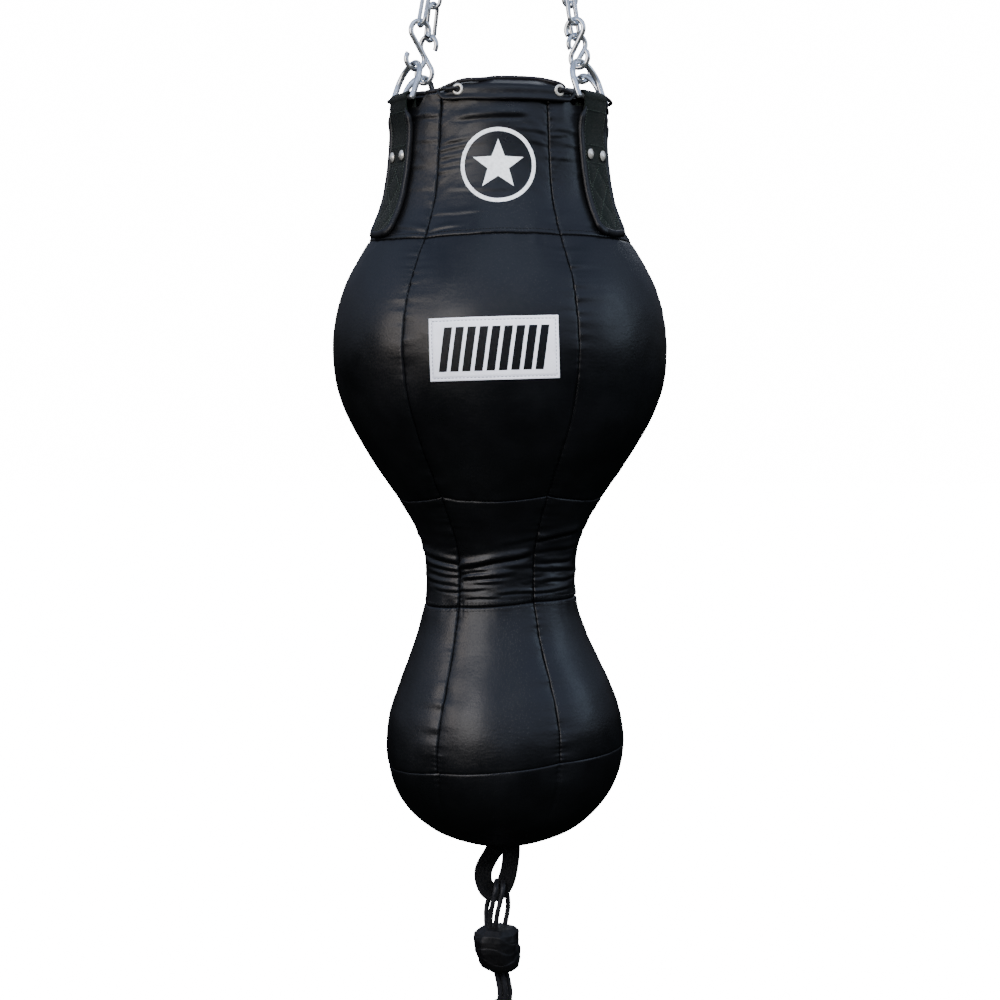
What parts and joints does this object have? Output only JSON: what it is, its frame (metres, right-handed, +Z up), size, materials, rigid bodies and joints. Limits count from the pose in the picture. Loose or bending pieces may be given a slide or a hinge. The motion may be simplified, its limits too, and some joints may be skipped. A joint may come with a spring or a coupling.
{
  "type": "heavy punching bag",
  "caption": "Body-shape punching bag with two bulbs, a stitched skin, chain sling, swivel and a tie-down loop with cords.",
  "frame": {"origin": "middle of the hanging eye, on its axis and half way through its thickness", "axes": "+Z up along the bag; +Y to the back along the hanging eye; the front of the bag, with its label, faces -Y"},
  "size_m": [0.4, 0.4013, 1.9691],
  "materials": {
    "bag_leather": "satin",
    "hanger_webbing": "matte",
    "bright_zinc": "satin",
    "forged_steel": "satin",
    "rivet_nickel": "polished",
    "lace_braid": "matte",
    "label_satin": "satin",
    "liner_canvas": "matte",
    "textile_filling": "matte",
    "loop_webbing": "matte",
    "cord_braid": "satin",
    "binding_tape": "satin"
  },
  "bodies": {
    "swivel": {"swivel_housing": "forged_steel"},
    "stem": {"swivel_stem": "forged_steel", "swivel_nut": "bright_zinc", "swivel_balls": "bright_zinc"},
    "shackle": {"shackle_bow": "bright_zinc", "shackle_pin": "forged_steel"},
    "bag": {"master_ring": "bright_zinc", "chain_leg_1": "bright_zinc", "chain_leg_2": "bright_zinc", "chain_leg_3": "bright_zinc", "chain_leg_4": "bright_zinc", "s_hook_1": "bright_zinc", "s_hook_2": "bright_zinc", "s_hook_3": "bright_zinc", "s_hook_4": "bright_zinc", "d_ring_1": "bright_zinc", "d_ring_2": "bright_zinc", "d_ring_3": "bright_zinc", "d_ring_4": "bright_zinc", "tab_rivets": "rivet_nickel", "eyelets": "rivet_nickel", "hanger_tab_1": "hanger_webbing", "hanger_tab_2": "hanger_webbing", "hanger_tab_3": "hanger_webbing", "hanger_tab_4": "hanger_webbing", "top_cover": "bag_leather", "neck_panel_1": "bag_leather", "neck_panel_2": "bag_leather", "neck_panel_3": "bag_leather", "neck_panel_4": "bag_leather", "neck_panel_5": "bag_leather", "neck_panel_6": "bag_leather", "upper_panel_1": "bag_leather", "upper_panel_2": "bag_leather", "upper_panel_3": "bag_leather", "upper_panel_4": "bag_leather", "upper_panel_5": "bag_leather", "upper_panel_6": "bag_leather", "waist_panel_1": "bag_leather", "waist_panel_2": "bag_leather", "waist_panel_3": "bag_leather", "waist_panel_4": "bag_leather", "waist_panel_5": "bag_leather", "waist_panel_6": "bag_leather", "lower_panel_1": "bag_leather", "lower_panel_2": "bag_leather", "lower_panel_3": "bag_leather", "lower_panel_4": "bag_leather", "lower_panel_5": "bag_leather", "lower_panel_6": "bag_leather", "bottom_cap": "bag_leather", "lace": "lace_braid", "label": "label_satin", "liner": "liner_canvas", "filling": "textile_filling"},
    "loop": {"tie_loop": "loop_webbing"},
    "tie": {"tie_cord": "cord_braid", "knot_tape": "binding_tape", "floor_ring": "bright_zinc"}
  },
  "joints": [
    {"name": "spin", "type": "hinge", "parent": "swivel", "child": "stem", "pos_m": [0, 0, -0.06], "axis": [0, 0, 1], "continuous": true},
    {"name": "swing_side", "type": "hinge", "parent": "stem", "child": "shackle", "pos_m": [0, 0, -0.096], "axis": [0, 1, 0], "range_deg": [-40, 40]},
    {"name": "swing_front", "type": "hinge", "parent": "shackle", "child": "bag", "pos_m": [0, 0, -0.1267], "axis": [1, 0, 0], "range_deg": [-40, 40]},
    {"name": "loop_flex", "type": "hinge", "parent": "bag", "child": "loop", "pos_m": [0, 0, -1.68574], "axis": [1, 0, 0], "range_deg": [-45, 45]},
    {"name": "tie_swing", "type": "hinge", "parent": "loop", "child": "tie", "pos_m": [0, 0, -1.72814], "axis": [0, 1, 0], "range_deg": [-25, 25]}
  ]
}
